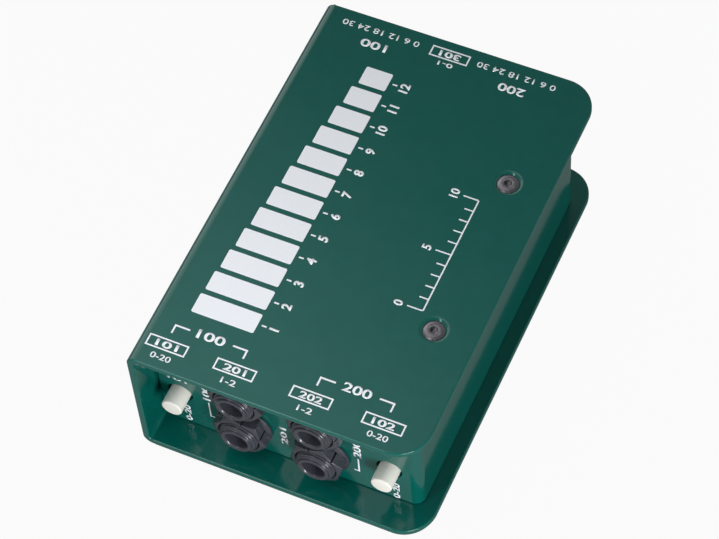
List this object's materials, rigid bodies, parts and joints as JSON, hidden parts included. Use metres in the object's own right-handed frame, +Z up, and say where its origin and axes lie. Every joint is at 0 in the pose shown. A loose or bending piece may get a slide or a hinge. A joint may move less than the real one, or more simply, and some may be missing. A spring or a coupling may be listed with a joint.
{
  "type": "direct injection box",
  "caption": "Passive audio direct box: folded steel cover over a recessed chassis with phone jacks in front, male three-pin connectors behind and push buttons.",
  "frame": {"origin": "under the middle of the rubber base pad, on the surface that the box stands on", "axes": "+Z up; -Y to the front panel with the jacks; +Y to the rear panel; +X to the open end of the cover"},
  "size_m": [0.083, 0.127, 0.0448],
  "materials": {
    "green_enamel": "gloss powder coat over folded steel",
    "base_rubber": "dull closed-cell rubber sheet",
    "black_screw": "black oxide",
    "zinc_steel": "bright zinc plate",
    "black_plastic": "semi-gloss moulded black",
    "cream_plastic": "satin moulded cream",
    "nickel": "nickel plate",
    "black_metal": "satin black on die-cast metal",
    "circuit_board": "solder mask over glass laminate",
    "transformer_can": "drawn metal can"
  },
  "bodies": {
    "chassis": {"outer_cover": "green_enamel", "inner_chassis": "green_enamel", "base_pad": "base_rubber", "cover_screw_top_front": "black_screw", "clinch_nut_top_front": "zinc_steel", "cover_screw_top_rear": "black_screw", "clinch_nut_top_rear": "zinc_steel", "cover_screw_bottom_front": "black_screw", "clinch_nut_bottom_front": "zinc_steel", "cover_screw_bottom_rear": "black_screw", "clinch_nut_bottom_rear": "zinc_steel", "upper_left_jack_housing": "black_plastic", "upper_left_jack_nut": "black_plastic", "upper_left_sleeve_contact": "nickel", "upper_left_tip_contact": "nickel", "upper_right_jack_housing": "black_plastic", "upper_right_jack_nut": "black_plastic", "upper_right_sleeve_contact": "nickel", "upper_right_tip_contact": "nickel", "lower_left_jack_housing": "black_plastic", "lower_left_jack_nut": "black_plastic", "lower_left_sleeve_contact": "nickel", "lower_left_tip_contact": "nickel", "lower_right_jack_housing": "black_plastic", "lower_right_jack_nut": "black_plastic", "lower_right_sleeve_contact": "nickel", "lower_right_tip_contact": "nickel", "main_board": "circuit_board", "rear_board": "circuit_board", "board_link_header": "black_plastic", "left_transformer_can": "transformer_can", "right_transformer_can": "transformer_can", "left_pad_switch_body": "black_plastic", "left_pad_return_spring": "zinc_steel", "right_pad_switch_body": "black_plastic", "right_pad_return_spring": "zinc_steel", "ground_lift_switch_body": "black_plastic", "ground_lift_return_spring": "zinc_steel", "left_xlr_shell": "black_metal", "left_xlr_insert": "black_plastic", "left_xlr_pin_1": "nickel", "left_xlr_pin_2": "nickel", "left_xlr_pin_3": "nickel", "left_xlr_screw_upper": "black_screw", "left_xlr_screw_lower": "black_screw", "right_xlr_shell": "black_metal", "right_xlr_insert": "black_plastic", "right_xlr_pin_1": "nickel", "right_xlr_pin_2": "nickel", "right_xlr_pin_3": "nickel", "right_xlr_screw_upper": "black_screw", "right_xlr_screw_lower": "black_screw"},
    "left_pad_button": {"left_pad_button_stem": "black_plastic", "left_pad_button_cap": "cream_plastic"},
    "right_pad_button": {"right_pad_button_stem": "black_plastic", "right_pad_button_cap": "cream_plastic"},
    "ground_lift_button": {"ground_lift_button_stem": "black_plastic", "ground_lift_button_cap": "cream_plastic"}
  },
  "joints": [
    {"name": "left_pad_press", "type": "slide", "parent": "chassis", "child": "left_pad_button", "axis": [0, 1, 0], "range_m": [0, 0.0026], "stiffness_N_per_m": 200, "springref_m": -0.001, "deforming": ["left_pad_return_spring"]},
    {"name": "right_pad_press", "type": "slide", "parent": "chassis", "child": "right_pad_button", "axis": [0, 1, 0], "range_m": [0, 0.0026], "stiffness_N_per_m": 200, "springref_m": -0.001, "deforming": ["right_pad_return_spring"]},
    {"name": "ground_lift_press", "type": "slide", "parent": "chassis", "child": "ground_lift_button", "axis": [0, -1, 0], "range_m": [0, 0.0026], "stiffness_N_per_m": 200, "springref_m": -0.001, "deforming": ["ground_lift_return_spring"]}
  ]
}
